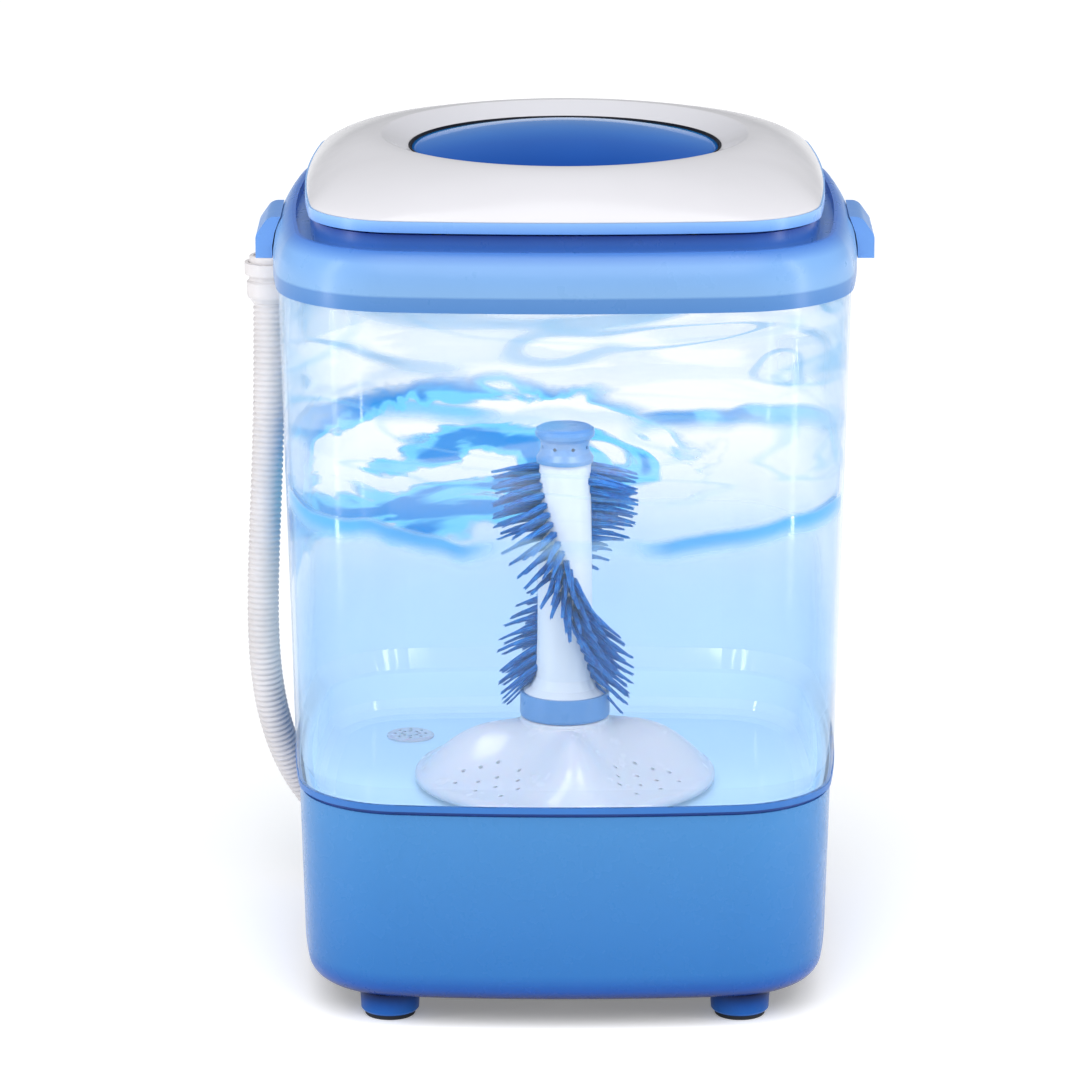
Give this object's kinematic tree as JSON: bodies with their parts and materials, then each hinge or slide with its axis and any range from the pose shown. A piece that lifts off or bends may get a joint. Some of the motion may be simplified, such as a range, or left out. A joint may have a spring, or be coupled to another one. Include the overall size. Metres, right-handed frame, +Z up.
{
  "type": "portable mini washer",
  "caption": "Small top-loading washing tub with a clear body on a motor base, hinged lid with a window, lift-off brush on a pulsator, and a gravity drain hose clipped at its side.",
  "frame": {"origin": "on the floor plane, under the centre of the cabinet", "axes": "+Z up, front of the cabinet at -Y, lid hinge at +Y, drain hose on the -X side"},
  "size_m": [0.3637, 0.33, 0.4874],
  "materials": {
    "base_blue": "satin-gloss injection-moulded blue",
    "collar_blue": "gloss light blue",
    "deep_blue": "gloss dark blue",
    "shell_white": "gloss white",
    "clear_blue": "clear tinted plastic",
    "lens_blue": "see-through blue plastic",
    "pulsator_white": "satin white",
    "bristle_blue": "nylon filament",
    "core_pale": "satin pale",
    "brush_blue": "gloss light blue",
    "hose_grey": "satin grey corrugated",
    "rubber_dark": "matt rubber",
    "steel": "brushed",
    "black_plastic": "matt black",
    "copper": "enamelled wire",
    "iron": "laminated",
    "aluminium": "die cast",
    "belt_rubber": "moulded rubber",
    "grey_plastic": "satin grey"
  },
  "bodies": {
    "cabinet": {"base_housing": "base_blue", "bottom_cover": "base_blue", "bottom_cover_screws": "steel", "foot_front_left": "base_blue", "foot_front_right": "base_blue", "foot_rear_left": "base_blue", "foot_rear_right": "base_blue", "foot_pads": "rubber_dark", "seam_gasket": "deep_blue", "tub_trim": "base_blue", "tub": "clear_blue", "collar_frame": "collar_blue", "handle_left": "collar_blue", "handle_right": "collar_blue", "hinge_pin_left": "steel", "hinge_pin_right": "steel", "lid_buffers": "rubber_dark", "bearing_housing": "black_plastic", "bearing_lower": "steel", "bearing_upper": "steel", "shaft_seal": "rubber_dark", "floor_screws": "steel", "motor_stator": "iron", "motor_windings": "copper", "motor_cover_top": "aluminium", "motor_cover_bottom": "aluminium", "motor_bushes": "steel", "motor_bracket": "steel", "drive_belt": "belt_rubber", "capacitor": "grey_plastic", "capacitor_clip": "steel", "terminal_block": "grey_plastic", "timer_module": "grey_plastic", "cord_gland": "black_plastic", "drain_strainer": "pulsator_white", "drain_sump": "grey_plastic", "drain_pipe": "grey_plastic", "drain_outlet": "hose_grey", "drain_hose": "hose_grey", "hose_cuff": "hose_grey", "hose_clip": "hose_grey"},
    "lid": {"lid_frame": "collar_blue", "lid_shell": "shell_white", "lid_lens": "lens_blue", "lens_gasket": "rubber_dark"},
    "pulsator": {"pulsator_disc": "pulsator_white", "pulsator_screw": "steel", "pulsator_shaft": "steel", "driven_pulley": "aluminium", "pulley_nut": "steel"},
    "brush": {"brush_ring": "brush_blue", "brush_core": "core_pale", "brush_bristles": "bristle_blue", "brush_cap": "brush_blue"},
    "motor_rotor": {"rotor_core": "iron", "motor_shaft": "steel", "motor_pulley": "aluminium", "cooling_fan": "black_plastic"},
    "timer": {"timer_knob": "collar_blue", "timer_shaft": "steel"}
  },
  "joints": [
    {"name": "lid_hinge", "type": "hinge", "parent": "cabinet", "child": "lid", "pos_m": [0, 0.147, 0.451], "axis": [-1, 0, 0], "range_deg": [0, 100]},
    {"name": "pulsator_spin", "type": "hinge", "parent": "cabinet", "child": "pulsator", "pos_m": [0, 0, 0.12], "axis": [0, 0, 1], "continuous": true},
    {"name": "brush_lift", "type": "slide", "parent": "pulsator", "child": "brush", "axis": [0, 0, 1], "range_m": [0, 0.1]},
    {"name": "motor_spin", "type": "hinge", "parent": "cabinet", "child": "motor_rotor", "pos_m": [0.092, 0, 0.06], "axis": [0, 0, 1], "continuous": true},
    {"name": "timer_turn", "type": "hinge", "parent": "cabinet", "child": "timer", "pos_m": [0.075, 0.155, 0.076], "axis": [0, -1, 0], "range_deg": [0, 280]}
  ],
  "couplings": [
    {"joint": "motor_spin", "follows": "pulsator_spin", "ratio": 5}
  ]
}
